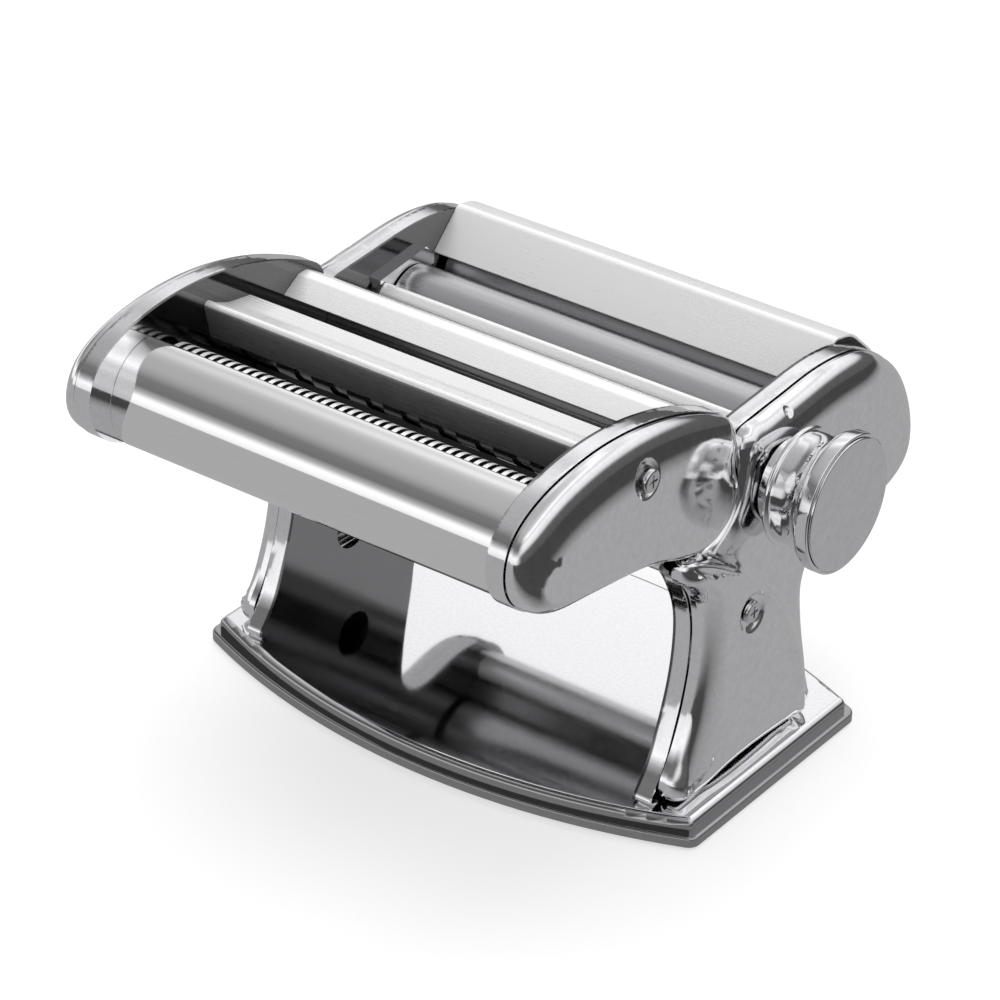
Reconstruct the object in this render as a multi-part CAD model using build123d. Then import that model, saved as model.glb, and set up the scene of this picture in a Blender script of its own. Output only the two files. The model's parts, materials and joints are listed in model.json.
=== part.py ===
from build123d import *
import os
from math import cos, radians, sin

# Hand-cranked pasta roller machine: a head with two smooth rollers on two legs, a stamped base,
# a gap knob on the right, and a lift-off cutter unit with a narrow and a wide pair of cutting rollers.
#
# Axes: +X towards the knob, -Y towards the cutter unit, +Z up. The origin is on the resting surface,
# midway between the side frames and midway between the base's four corners. Millimetres throughout.

# ---- driving dimensions -------------------------------------------------------------------------
THROAT = 146.0          # clear width between the two side frames
SHEET = 1.0             # pressed steel sheet
FLANGE = 5.2            # width of the bright strip around each side frame
RIM = 1.2               # thickness of that strip
COVER_GAP = 0.5         # dark line between strip and cover
COVER_DEPTH = 8.2       # how far the pressed side covers stand out
LEG_PANEL_RISE = 1.2    # how far the raised leg panel stands out of the side cover

BASE_TOP = 9.0
BASE_HALF_WIDTH = 95.6
BASE_CORNER_Y = 44.5
BASE_BOW = 19.8         # how far the front and rear edges bow outwards
BASE_LIP_TOP = 4.4
BASE_LIFT = 1.0         # gap under the skirt, made by the rubber feet

ROLLER_R = 13.0         # smooth rollers
ROLLER_SHAFT_R = 6.0
GAP_OPEN = 2.9          # gap between the smooth rollers at the widest setting
GAP_TRAVEL = 2.4        # how far the adjustable roller closes
FRONT_ROLLER = (30.6, 101.0)
REAR_ROLLER = (FRONT_ROLLER[0] + 2 * ROLLER_R + GAP_OPEN, FRONT_ROLLER[1])

CUTTER_R = 9.2          # crown radius of the cutting rollers
CUTTER_MESH = 0.9       # how deep the discs of a pair interleave
CUTTER_SHAFT_R = 4.2
CUTTER_TILT = -38.0     # slope of each cutter pair, falling towards the machine
NARROW_FRONT = (-85.5, 126.8)
WIDE_FRONT = (-44.0, 121.2)
NARROW_PITCH = 3.3      # disc pitch of the narrow cutter
WIDE_PITCH = 13.8       # disc pitch of the wide cutter

KNOB_AXIS = (7.0, 103.6)
KNOB_R = 22.4
KNOB_FACE_X = 112.5
SHAFT_CLEAR = 0.05      # radial running clearance of every shaft
CRANK_BORE_R = 4.0
CRANK_BORE_DEPTH = 14.0
CUTTER_BORE_R = 2.6
CUTTER_BORE_DEPTH = 10.0

# ---- places worked out from those ---------------------------------------------------------------
WEB_IN = THROAT / 2
WEB_OUT = WEB_IN + SHEET
STRIP_OUT = WEB_IN + FLANGE + SHEET
COVER_IN = STRIP_OUT + COVER_GAP
COVER_OUT = COVER_IN + COVER_DEPTH
LEFT, RIGHT = -1, 1
SIDES = {"left": LEFT, "right": RIGHT}


def pair_mate(front, distance, tilt):
    """Centre of the second roller of a pair, a distance away along a tilted line."""
    return (front[0] + distance * cos(radians(tilt)), front[1] + distance * sin(radians(tilt)))


CUTTER_DISTANCE = 2 * CUTTER_R - CUTTER_MESH
NARROW_REAR = pair_mate(NARROW_FRONT, CUTTER_DISTANCE, CUTTER_TILT)
WIDE_REAR = pair_mate(WIDE_FRONT, CUTTER_DISTANCE, CUTTER_TILT)


# ---- helpers ------------------------------------------------------------------------------------
def side_face(outline, x):
    """A closed (y, z) outline as a face on the plane X = x, facing +X."""
    return Plane(origin=(x, 0, 0), x_dir=(0, 1, 0), z_dir=(1, 0, 0)) * outline


def slab(outline, x_from, x_to):
    """Extrude a (y, z) outline between two X planes."""
    return extrude(side_face(outline, min(x_from, x_to)), amount=abs(x_to - x_from))


def rod(centre, radius, x_from, x_to):
    """A round bar along X through the (y, z) centre."""
    return slab(Pos(*centre) * Circle(radius), x_from, x_to)


def tube(centre, outer, inner, x_from, x_to):
    return rod(centre, outer, x_from, x_to) - rod(centre, inner, x_from, x_to)


def strip(points, thickness, x_from, x_to, radius=1.2):
    """A bent sheet along X whose section follows (y, z) points, thickened to its left."""
    line = FilletPolyline(*points, radius=radius) if len(points) > 2 else Polyline(*points)
    section = make_face(offset(line, amount=thickness, side=Side.LEFT))
    return slab(section, x_from, x_to)


def block(x_from, x_to, y_from, y_to, z_from, z_to):
    size = (x_to - x_from, y_to - y_from, z_to - z_from)
    return Pos((x_from + x_to) / 2, (y_from + y_to) / 2, (z_from + z_to) / 2) * Box(*size)


def span(side, inner, outer):
    """X range between two distances from the middle, on one side, in rising order."""
    return (side * inner, side * outer) if side > 0 else (side * outer, side * inner)


def mirrored(solid, side):
    """A solid drawn for the right side, put on the side asked for."""
    return solid if side > 0 else mirror(solid, about=Plane.YZ)


def save(node, shape):
    """Write one sub-part, as one solid or a group of solids."""
    solids = shape.solids()
    group = solids[0] if len(solids) == 1 else Compound(children=list(solids))
    export_step(group, f"parts/{node}.step")


# ---- outlines of the two side profiles ----------------------------------------------------------
CRADLE = (-32.0, 116.6)     # the cutter unit's round rear end sits in this hollow of the head
CRADLE_R = 22.4
CUTTER_END_R = 21.6
OUTLINE_STEPS = 64          # stations at which an outline is pulled in


def on_circle(centre, radius, angle):
    return (centre[0] + radius * cos(radians(angle)), centre[1] + radius * sin(radians(angle)))


def body_curve(tip, toe, heel):
    """Head and leg in one closed curve: back of the leg, tail, crown, cradle, tip, shin, toe, heel."""
    back = [(33.4, 22.0), (30.2, 38.0), (27.6, 54.0), (28.6, 64.6), (36.5, 70.3)]
    tail = [(54.0, 69.0), (72.0, 69.6), (83.0, 77.0), (87.0, 88.0), (84.0, 100.5), (77.5, 110.4)]
    crown = [(69.4, 117.2), (59.0, 123.0), (47.0, 126.0), (32.0, 127.0), (14.0, 126.0), (-3.0, 124.9),
             (-8.9, 122.8)]
    cradle = [on_circle(CRADLE, CRADLE_R, angle) for angle in (8, -22, -52, -82)]
    shin = [(-31.8, 80.6), (-27.6, 70.0), (-27.0, 58.0), (-29.6, 43.0), (-34.4, 29.5)]
    return Spline(*back, *tail, *crown, *cradle, *tip, *shin, *toe, *heel, periodic=True)


def cutter_curve():
    """The cutter unit seen from the side: arched top, blunt nose, sloping belly, round rear end."""
    top = [(-16.2, 134.2), (-25.5, 138.8), (-37.3, 143.4), (-57.4, 148.5), (-76.8, 150.3), (-95.7, 148.8)]
    nose = [(-109.5, 144.8), (-118.4, 138.0), (-121.2, 129.0), (-118.0, 118.8), (-109.0, 111.7)]
    belly = [(-94.4, 108.5), (-75.0, 105.6), (-55.0, 101.6)]
    end = [on_circle(CRADLE, CUTTER_END_R, angle) for angle in (-90, -62, -34, -6, 14)]
    return Spline(*top, *nose, *belly, *end, (-12.6, 130.2), periodic=True)


def pulled_in(curve, amount):
    """The face inside a closed anticlockwise curve, with its edge pulled in by an even amount."""
    if amount == 0:
        return make_face(curve)
    stations = [i / OUTLINE_STEPS for i in range(OUTLINE_STEPS)]
    points = [curve @ t + (curve % t).rotate(Axis.Z, 90) * amount for t in stations]
    return make_face(Spline(*points, periodic=True))


SOLE = BASE_TOP - 0.6
COVER_SOLE = BASE_TOP + 0.9
BODY = body_curve(tip=[(-41.0, 96.2), (-44.8, 94.8), (-42.6, 92.0), (-37.4, 88.6)],
                  toe=[(-42.4, 15.0), (-45.2, 10.2), (-42.0, SOLE), (-20.0, SOLE)],
                  heel=[(10.0, SOLE), (32.6, SOLE), (37.2, 10.0), (36.0, 13.0)])
BODY_COVER = body_curve(tip=[(-36.4, 94.4), (-40.0, 92.0), (-38.6, 87.6), (-34.8, 83.6)],
                        toe=[(-41.0, 17.6), (-42.6, 12.4), (-38.4, COVER_SOLE), (-20.0, COVER_SOLE)],
                        heel=[(8.0, COVER_SOLE), (28.6, COVER_SOLE), (34.2, 12.4), (34.0, 17.0)])
CUTTER = cutter_curve()


def above_base(solid):
    return solid & block(0, 2 * BASE_HALF_WIDTH, -200, 200, BASE_TOP, 300)


def side_pan(curve):
    """A side frame for the right: a flat web with the bright strip folded outwards round its edge."""
    return slab(pulled_in(curve, 0), WEB_IN, STRIP_OUT) - slab(pulled_in(curve, RIM), WEB_OUT, STRIP_OUT + 1)


def dish(curve, levels):
    """A solid whose outline is pulled in by the stated amount at each X level."""
    return loft([side_face(pulled_in(curve, amount), x) for x, amount in levels], ruled=True)


def pressed_cover(curve, out=COVER_OUT):
    """A shallow pressed dish for the right, open towards the frame, with an eased outer edge."""
    edge = 0.5
    ease = [(out - 3.0, 0.0), (out - 1.2, 0.7), (out, 2.3)]
    outer = dish(curve, [(COVER_IN, edge)] + [(x, edge + amount) for x, amount in ease])
    inner = dish(curve, [(COVER_IN - 1, edge + SHEET), (out - 4.0, edge + SHEET), (out - SHEET, edge + 2.4)])
    return outer - inner


# ---- holes shared by frames, covers and what runs in them ---------------------------------------
BUSH_R = 8.5
BLOCK_R = 8.4           # the adjustable roller's bearing block, sliding in its slot
BLOCK_CLEAR = 0.3
CAM_SHAFT_R = 4.0
CAM_R = 6.0
CAM_THROW = GAP_TRAVEL / 2
CUTTER_BUSH_R = 6.2
TIE_ROD_R = 4.0
TIE_RODS = [(12.0, 78.0), (74.4, 80.6)]
CUTTER_TIE_RODS = [(-101.0, 121.0), (-56.5, 112.0)]
LEG_SCREW = (-7.6, 64.6)
CUTTER_SCREW = (-64.0, 136.6)
LEG_HOLE = (1.5, 30.0)
LEG_HOLE_R = 8.0
PLATE_GAP = 0.3         # between a web and the parts that turn or slide beside it
YOKE = (WEB_OUT + PLATE_GAP, WEB_OUT + PLATE_GAP + 3.0)
GEARS = (YOKE[1] + 0.7, YOKE[1] + 5.7)
CRANK_END = COVER_OUT


def slot_hole(centre, radius, travel, x_from, x_to):
    """A round hole stretched along +Y by the travel."""
    start, end = centre, (centre[0] + travel, centre[1])
    middle = block(x_from, x_to, start[0], end[0], centre[1] - radius, centre[1] + radius)
    return rod(start, radius, x_from, x_to) + middle + rod(end, radius, x_from, x_to)


def side_frame(side):
    pan = above_base(side_pan(BODY))
    deep = (WEB_IN - 1, WEB_OUT + 1)
    pan -= rod(REAR_ROLLER, BUSH_R, *deep)
    pan -= slot_hole(FRONT_ROLLER, BLOCK_R + BLOCK_CLEAR, GAP_TRAVEL, *deep)
    pan -= rod(KNOB_AXIS, CAM_SHAFT_R + SHAFT_CLEAR, *deep)
    pan -= rod(LEG_HOLE, LEG_HOLE_R, *deep)
    for centre in TIE_RODS:
        pan -= rod(centre, 2.1, *deep)
    for y in FRAME_SCREW_Y:
        pan -= Pos(FRAME_SCREW_X, y, BASE_TOP) * Cylinder(2.1, 6)
    return mirrored(pan, side)


def leg_panel():
    """The raised face of the front leg, ending along an arc from the tip to the heel."""
    arc = Spline((-44.0, 97.4), (-13.1, 80.8), (7.5, 58.9), (19.3, 36.5), (24.4, 5.0))
    front = Polyline((24.4, 5.0), (-60.0, 5.0), (-60.0, 97.4), (-44.0, 97.4))
    region = slab(make_face([arc, front]), COVER_OUT - 0.4, COVER_OUT + LEG_PANEL_RISE)
    panel = slab(pulled_in(BODY_COVER, 2.9), COVER_OUT - 0.4, COVER_OUT + LEG_PANEL_RISE) & region
    recess = slab(Pos(*LEG_SCREW) * Rot(0, 0, -47) * Ellipse(9.0, 6.6), COVER_OUT, COVER_OUT + 2)
    return panel - recess


def side_cover(side):
    cover = pressed_cover(BODY_COVER) + leg_panel()
    through = (COVER_IN - 1, COVER_OUT + 3)
    cover -= rod(LEG_SCREW, 2.1, *through)
    if side == RIGHT:
        cover -= rod(KNOB_AXIS, CAM_SHAFT_R + 0.8, *through)
    else:
        cover -= rod(REAR_ROLLER, ROLLER_SHAFT_R + 1.5, *through)
    return mirrored(cover, side)


def cutter_frame(side):
    pan = side_pan(CUTTER)
    deep = (WEB_IN - 1, WEB_OUT + 1)
    for centre in (NARROW_FRONT, NARROW_REAR, WIDE_FRONT, WIDE_REAR):
        pan -= rod(centre, CUTTER_BUSH_R, *deep)
    for centre in CUTTER_TIE_RODS:
        pan -= rod(centre, 2.1, *deep)
    return mirrored(pan, side)


def cutter_cover(side):
    cover = pressed_cover(CUTTER)
    through = (COVER_IN - 1, COVER_OUT + 1)
    cover -= rod(CUTTER_SCREW, 2.1, *through)
    if side == LEFT:
        for centre in (NARROW_FRONT, WIDE_FRONT):
            cover -= rod(centre, CUTTER_SHAFT_R + 2.2, *through)
    return mirrored(cover, side)


# ---- base ---------------------------------------------------------------------------------------
BASE_SHEET = 1.2
BASE_STEP = 2.4         # how far the raised top is set in from the lip
FOOT_AT = (85.5, 38.0)
FOOT_R = 5.5
FRAME_SCREW_X = (WEB_OUT + STRIP_OUT) / 2
FRAME_SCREW_Y = (-28.0, 20.0)
CLAMP_R = 3.05
CLAMP_DEPTH = 12.0
CLAMP_Z = 4.6


def base_edge(amount):
    """The base's plan: straight sides, bowed front and rear, corners eased, pulled in evenly."""
    x, y, bow = BASE_HALF_WIDTH - amount, BASE_CORNER_Y - amount * 0.8, BASE_BOW
    plan = make_face([ThreePointArc((-x, -y), (0, -y - bow), (x, -y)), Line((x, -y), (x, y)),
                      ThreePointArc((x, y), (0, y + bow), (-x, y)), Line((-x, y), (-x, -y))])
    return fillet(plan.vertices(), max(4.0 - amount, 1.5))


def base_slab(amount, z_from, z_to):
    return Pos(0, 0, z_from) * extrude(base_edge(amount), amount=z_to - z_from)


def base_plate():
    lip = fillet(base_slab(0, BASE_LIFT, BASE_LIP_TOP).faces().sort_by(Axis.Z)[-1].edges(), 1.0)
    top = base_slab(BASE_STEP, BASE_LIP_TOP - 1.2, BASE_TOP)
    top = fillet(top.faces().sort_by(Axis.Z)[-1].edges(), 2.4)
    plate = lip + top
    plate -= base_slab(BASE_SHEET, 0, BASE_LIP_TOP - BASE_SHEET)
    plate -= base_slab(BASE_STEP + BASE_SHEET, 0, BASE_TOP - BASE_SHEET)
    for x in (-FRAME_SCREW_X, FRAME_SCREW_X):
        for y in FRAME_SCREW_Y:
            plate -= Pos(x, y, BASE_TOP) * Cylinder(2.1, 6)
    mouth = Plane.XZ.offset(-(BASE_CORNER_Y + BASE_BOW + 1)) * Pos(0, CLAMP_Z) * Circle(CLAMP_R + 0.3)
    return plate - extrude(mouth, amount=8)


def rubber_feet():
    plug = Pos(0, 0, 5.4) * Cylinder(3.5, 4.8)
    foot = Pos(0, 0, 1.5) * Cylinder(FOOT_R, 3.0) + plug
    foot = fillet(foot.edges().sort_by(Axis.Z)[0], 0.6)
    corners = [Pos(x * FOOT_AT[0], y * FOOT_AT[1], 0) for x in (-1, 1) for y in (-1, 1)]
    return Compound(children=[corner * foot for corner in corners])


def clamp_socket():
    """A steel block under the base's rear edge that takes the table clamp's peg."""
    rear = BASE_CORNER_Y + BASE_BOW - BASE_STEP - BASE_SHEET - 0.4
    body = block(-9, 9, rear - CLAMP_DEPTH - 3, rear, 1.2, BASE_TOP - BASE_SHEET)
    hole = Plane.XZ.offset(-rear - 1) * Pos(0, CLAMP_Z) * Circle(CLAMP_R)
    return body - extrude(hole, amount=CLAMP_DEPTH + 1)


def frame_screws():
    """Pan-head screws from under the base into the frames' feet."""
    screw = Pos(0, 0, 7.0) * Cylinder(3.6, 1.6) + Pos(0, 0, 9.0) * Cylinder(2.0, 3.4)
    return Compound(children=[Pos(x * FRAME_SCREW_X, y, 0) * screw for x in (-1, 1) for y in FRAME_SCREW_Y])


# ---- head: tie rods, hopper, guard, ears, scrapers ----------------------------------------------
HOPPER = [(44.4, 112.6), (56.4, 124.4), (62.6, 122.8), (70.2, 117.6), (78.4, 109.0), (83.8, 98.0),
          (85.2, 88.0), (81.6, 78.8), (72.0, 72.2)]
GUARD = [(11.8, 106.0), (12.2, 112.4), (15.2, 115.2), (20.4, 111.7)]
SHEET_END = WEB_IN


def tie_rods(centres, radius):
    return Compound(children=[rod(c, radius, -WEB_IN, WEB_IN) for c in centres])


def tie_screws(centres):
    """Short hexagon-headed screws that hold each tie rod to both frames."""
    screws = []
    for centre in centres:
        head = slab(Pos(*centre) * RegularPolygon(4.0, 6), WEB_OUT, WEB_OUT + 2.6)
        screws += [mirrored(head + rod(centre, 2.0, WEB_IN, WEB_OUT), side) for side in SIDES.values()]
    return Compound(children=screws)


def hopper_plate():
    """One sheet: the slope the dough is fed down, then over the top and round the back of the head."""
    return strip(HOPPER, -0.9, -SHEET_END, SHEET_END, radius=2.4)


def front_guard():
    return strip(GUARD, -0.9, 2.4 - WEB_IN, WEB_IN - 2.4, radius=1.6)


def hopper_ear(side):
    """A thin cheek beside the roller's end, with a folded bead along its upper edge."""
    cheek = Polyline((13.4, 109.8), (13.4, 115.6), (37.2, 118.2), (43.0, 113.6), (43.0, 109.8), close=True)
    ear = slab(make_face(cheek), WEB_IN - 1.0, WEB_IN)
    bead = slab(make_face(Polyline((13.4, 114.6), (13.4, 116.0), (37.2, 118.6), (38.6, 116.8), close=True)),
                WEB_IN - 2.4, WEB_IN)
    return mirrored(ear + bead, side)


def scraper(centre, way):
    """A blade under a smooth roller, leaning towards it; way is the side it leans from."""
    low = (centre[0] + way * 10.0, centre[1] - 17.0)
    tip = (centre[0] + way * 5.6, centre[1] - 12.9)
    return strip([low, tip], 0.8, -SHEET_END, SHEET_END)


# ---- smooth rollers and their drive -------------------------------------------------------------
ROLLER_END = WEB_IN - 1.5
GEAR_TEETH = 12
CUTTER_GEAR_TEETH = 14


def gear(centre, teeth, outer, root, tip_width, base_width, turn, x_from, x_to, bore):
    """A straight gear with trapezoid teeth; turn is the angle of the first tooth."""
    wheel = Circle(root + 0.4)
    for i in range(teeth):
        tooth = Polygon((root - 0.5, -base_width / 2), (outer, -tip_width / 2), (outer, tip_width / 2),
                        (root - 0.5, base_width / 2), align=None)
        wheel += Rot(0, 0, turn + 360 * i / teeth) * tooth
    wheel -= Circle(bore)
    return slab(Pos(*centre) * wheel, x_from, x_to)


def roller_gear(centre, turn):
    return gear(centre, GEAR_TEETH, 15.5, 10.2, 1.0, 2.6, turn, -GEARS[1], -GEARS[0], ROLLER_SHAFT_R)


def smooth_roller(centre, driven):
    """A ground steel roller with its shaft; the driven one has the crank socket at its left end."""
    barrel = rod(centre, ROLLER_R, -ROLLER_END, ROLLER_END)
    barrel = chamfer(barrel.edges().filter_by(GeomType.CIRCLE), 0.4)
    left = -CRANK_END if driven else -GEARS[1]
    shaft = rod(centre, ROLLER_SHAFT_R, left, YOKE[1] + 1.5)
    roller = barrel + shaft
    if driven:
        roller -= rod(centre, CRANK_BORE_R, left - 1, left + CRANK_BORE_DEPTH)
    return roller


def roller_bushes():
    flanged = (tube(REAR_ROLLER, BUSH_R, ROLLER_SHAFT_R + SHAFT_CLEAR, WEB_IN, WEB_OUT)
               + tube(REAR_ROLLER, BUSH_R + 2, ROLLER_SHAFT_R + SHAFT_CLEAR, WEB_OUT, WEB_OUT + 1.8))
    return Compound(children=[mirrored(flanged, side) for side in SIDES.values()])


CAM_REST = (KNOB_AXIS[0] - CAM_THROW, KNOB_AXIS[1])     # cam centre at the widest gap


def bearing_yoke(side):
    """Bearing block of the adjustable roller with the fork that the cam pushes to and fro."""
    plate = Pos(*FRONT_ROLLER) * Circle(10.6) + Pos(*CAM_REST) * Rectangle(17.6, 19.0)
    link = Polygon((CAM_REST[0], CAM_REST[1] - 6), (FRONT_ROLLER[0], FRONT_ROLLER[1] - 8),
                   (FRONT_ROLLER[0], FRONT_ROLLER[1] + 8), (CAM_REST[0], CAM_REST[1] + 6), align=None)
    window = Rectangle(2 * CAM_R + 0.8, 2 * (CAM_R + CAM_THROW) + 0.8)
    plate = plate + link - Pos(*CAM_REST) * window
    yoke = slab(plate, *YOKE) + rod(FRONT_ROLLER, BLOCK_R, WEB_IN, YOKE[0])
    return mirrored(yoke - rod(FRONT_ROLLER, ROLLER_SHAFT_R + SHAFT_CLEAR, WEB_IN - 1, YOKE[1] + 1), side)


# ---- gap knob -----------------------------------------------------------------------------------
INDEX_R = 13.6
INDEX_OUT = COVER_OUT + 3.6
KNOB_BACK = INDEX_OUT + 0.5
KNOB_WALL = 2.2
SHAFT_END = KNOB_BACK + 10.6
SCREW_HEAD = 1.8
CAP_IN = KNOB_FACE_X - 3.0
PIN_CIRCLE = 9.6
PIN_R = 1.0
KNOB_PULL = 3.0


def about_knob(profile):
    """Revolve (x, radius) points about the knob's axis."""
    flat = Plane(origin=(0, *KNOB_AXIS), x_dir=(1, 0, 0), z_dir=(0, -1, 0))
    axis = Axis((0, *KNOB_AXIS), (1, 0, 0))
    return revolve(flat * make_face(Polyline(*profile, close=True)), axis)


def cam_shaft():
    """Cross shaft turned by the knob, with an eccentric at each frame."""
    shaft = rod(KNOB_AXIS, CAM_SHAFT_R, -YOKE[1], SHAFT_END)
    for side in SIDES.values():
        shaft += rod(CAM_REST, CAM_R, *span(side, *YOKE))
    return shaft - rod(KNOB_AXIS, 1.5, SHAFT_END - 8, SHAFT_END + 1)


def index_plate():
    """Fixed boss on the cover with an arc groove for the knob's pin, notched at each setting."""
    plate = rod(KNOB_AXIS, INDEX_R, COVER_OUT, INDEX_OUT) - rod(KNOB_AXIS, CAM_SHAFT_R + 0.3,
                                                               COVER_OUT - 1, INDEX_OUT + 1)
    plate = chamfer(plate.edges().filter_by(GeomType.CIRCLE).sort_by(Axis.X)[-1], 0.8)
    groove_floor = INDEX_OUT - 1.6
    groove = tube(KNOB_AXIS, PIN_CIRCLE + 1.3, PIN_CIRCLE - 1.3, groove_floor, INDEX_OUT + 1)
    return plate - groove


def knob_body():
    """Cup, waisted neck and rim, hollow inside for the spring and the shaft's end."""
    outside = [(KNOB_BACK, CAM_SHAFT_R + SHAFT_CLEAR), (KNOB_BACK, 19.6), (KNOB_BACK + 1.0, 20.2),
               (KNOB_BACK + 2.0, 19.8), (KNOB_BACK + 3.6, 18.2), (KNOB_BACK + 6.6, 17.6),
               (KNOB_BACK + 9.6, 18.2), (KNOB_BACK + 11.8, 19.8), (KNOB_BACK + 13.4, 21.6),
               (KNOB_BACK + 14.6, KNOB_R), (KNOB_FACE_X - 2.4, KNOB_R), (KNOB_FACE_X - 1.2, 22.0),
               (KNOB_FACE_X - 1.2, 21.4), (CAP_IN, 21.4)]
    inside = [(CAP_IN, 10.0), (KNOB_BACK + KNOB_WALL, 10.0),
              (KNOB_BACK + KNOB_WALL, CAM_SHAFT_R + SHAFT_CLEAR)]
    return about_knob(outside + inside)


def knob_cap():
    return about_knob([(CAP_IN, 0), (CAP_IN, 21.2), (KNOB_FACE_X - 0.7, 21.2), (KNOB_FACE_X - 0.2, 20.2),
                       (KNOB_FACE_X, 15.0), (KNOB_FACE_X, 0)])


def knob_spring():
    """The coil round the shaft between the knob's wall and the screw's head, as a plain sleeve."""
    return tube(KNOB_AXIS, 6.4, 4.8, KNOB_BACK + KNOB_WALL, SHAFT_END)


def knob_screw():
    thread = rod(KNOB_AXIS, 1.5, SHAFT_END - 8, SHAFT_END)
    return thread + rod(KNOB_AXIS, 7.0, SHAFT_END, SHAFT_END + SCREW_HEAD)


def detent_pin():
    centre = (KNOB_AXIS[0], KNOB_AXIS[1] + PIN_CIRCLE)
    return rod(centre, PIN_R, INDEX_OUT - 1.2, KNOB_BACK)


# ---- cover screws and their pillars -------------------------------------------------------------
def cover_screw(centre, side):
    """Cross-head screw with a low dome, through the cover into its pillar."""
    head = rod(centre, 3.7, COVER_OUT, COVER_OUT + 1.4)
    head = fillet(head.edges().sort_by(Axis.X)[-1], 0.9)
    for size in ((4.2, 0.8), (0.8, 4.2)):
        head -= slab(Pos(*centre) * Rectangle(*size), COVER_OUT + 0.5, COVER_OUT + 2)
    return mirrored(head + rod(centre, 2.0, COVER_OUT - 9, COVER_OUT), side)


def pillar(centre, side):
    return mirrored(tube(centre, 4.0, 2.05, WEB_OUT, COVER_OUT - SHEET), side)


def both_sides(maker, *arguments):
    return Compound(children=[maker(*arguments, side) for side in SIDES.values()])


# ---- cutter unit: sheets, cutting rollers, combs ------------------------------------------------
NOSE_CENTRE = (-94.2, 123.6)
NOSE_R = 18.0
NOSE_SHEET = 0.8
MIDDLE_SHEET = [(-47.6, 134.4), (-58.4, 136.4), (-64.6, 139.4), (-68.6, 142.4), (-67.2, 137.0),
                (-66.0, 129.6)]
REAR_SHEET = [(-31.8, 128.4), (-24.4, 133.6), (-20.2, 133.6), (-14.4, 129.2), (-13.6, 122.6)]
CORE_R = CUTTER_R - CUTTER_MESH - 0.2
CUTTER_END = WEB_IN - 0.8


def nose_cover():
    """The curved front sheet: a rolled edge behind its top, round the nose and under the belly."""
    outer = [on_circle(NOSE_CENTRE, NOSE_R, angle) for angle in (86, 170, 255)]
    inner = [on_circle(NOSE_CENTRE, NOSE_R - NOSE_SHEET, angle) for angle in (255, 170, 86)]
    arc = make_face([ThreePointArc(*outer), Line(outer[2], inner[0]), ThreePointArc(*inner),
                     Line(inner[2], outer[0])])
    edge_top = on_circle(NOSE_CENTRE, NOSE_R, 87)
    lip = Polygon((edge_top[0] - 0.3, edge_top[1]), (edge_top[0] + 0.1, edge_top[1] - 2.2),
                  (edge_top[0] + 0.9, edge_top[1] - 2.2), (edge_top[0] + 0.5, edge_top[1] - 0.1), align=None)
    return slab(arc + lip, -SHEET_END, SHEET_END)


def cutting_roller(centre, pitch, shift, left):
    """A grooved roller: discs at the pitch, moved along by a shift, on a core with its shaft."""
    width = pitch / 2 - 0.05
    profile = [(-CUTTER_END, 0), (-CUTTER_END, CORE_R)]
    count = int(2 * CUTTER_END / pitch) + 2
    for i in range(-count // 2, count // 2 + 1):
        start = i * pitch + shift - width / 2
        end = start + width
        if start > -CUTTER_END + 0.4 and end < CUTTER_END - 0.4:
            profile += [(start, CORE_R), (start, CUTTER_R), (end, CUTTER_R), (end, CORE_R)]
    profile += [(CUTTER_END, CORE_R), (CUTTER_END, 0)]
    flat = Plane(origin=(0, *centre), x_dir=(1, 0, 0), z_dir=(0, -1, 0))
    barrel = revolve(flat * make_face(Polyline(*profile, close=True)), Axis((0, *centre), (1, 0, 0)))
    roller = barrel + rod(centre, CUTTER_SHAFT_R, left, WEB_OUT + 2.4)
    if left == -CRANK_END:
        roller -= rod(centre, CUTTER_BORE_R, left - 1, left + CUTTER_BORE_DEPTH)
    return roller


def comb(centre, pitch, shift):
    """A bar under a cutting roller with a finger in each groove."""
    finger_width = pitch / 2 - 0.6
    top = centre[1] - CORE_R - 0.5
    under = centre[1] - CUTTER_R - 0.6
    bar = block(-CUTTER_END, CUTTER_END, centre[0] - 2.0, centre[0] + 2.0, under - 1.8, under)
    count = int(2 * CUTTER_END / pitch) + 2
    for i in range(-count // 2, count // 2 + 1):
        x = (i + 0.5) * pitch + shift
        if abs(x) + pitch < CUTTER_END:
            bar += block(x - finger_width / 2, x + finger_width / 2, centre[0] - 1.4, centre[0] + 1.4,
                         under - 0.1, top)
    return bar


def cutter_bushes():
    bushes = []
    for centre in (NARROW_FRONT, NARROW_REAR, WIDE_FRONT, WIDE_REAR):
        bush = (tube(centre, CUTTER_BUSH_R, CUTTER_SHAFT_R + SHAFT_CLEAR, WEB_IN, WEB_OUT)
                + tube(centre, CUTTER_BUSH_R + 1, CUTTER_SHAFT_R + SHAFT_CLEAR, WEB_OUT, WEB_OUT + 1.6))
        bushes += [mirrored(bush, side) for side in SIDES.values()]
    return Compound(children=bushes)


def cutter_gear(centre, turn):
    return gear(centre, CUTTER_GEAR_TEETH, 9.1, 7.7, 0.8, 1.6, turn, -GEARS[1], -GEARS[0], CUTTER_SHAFT_R)


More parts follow.
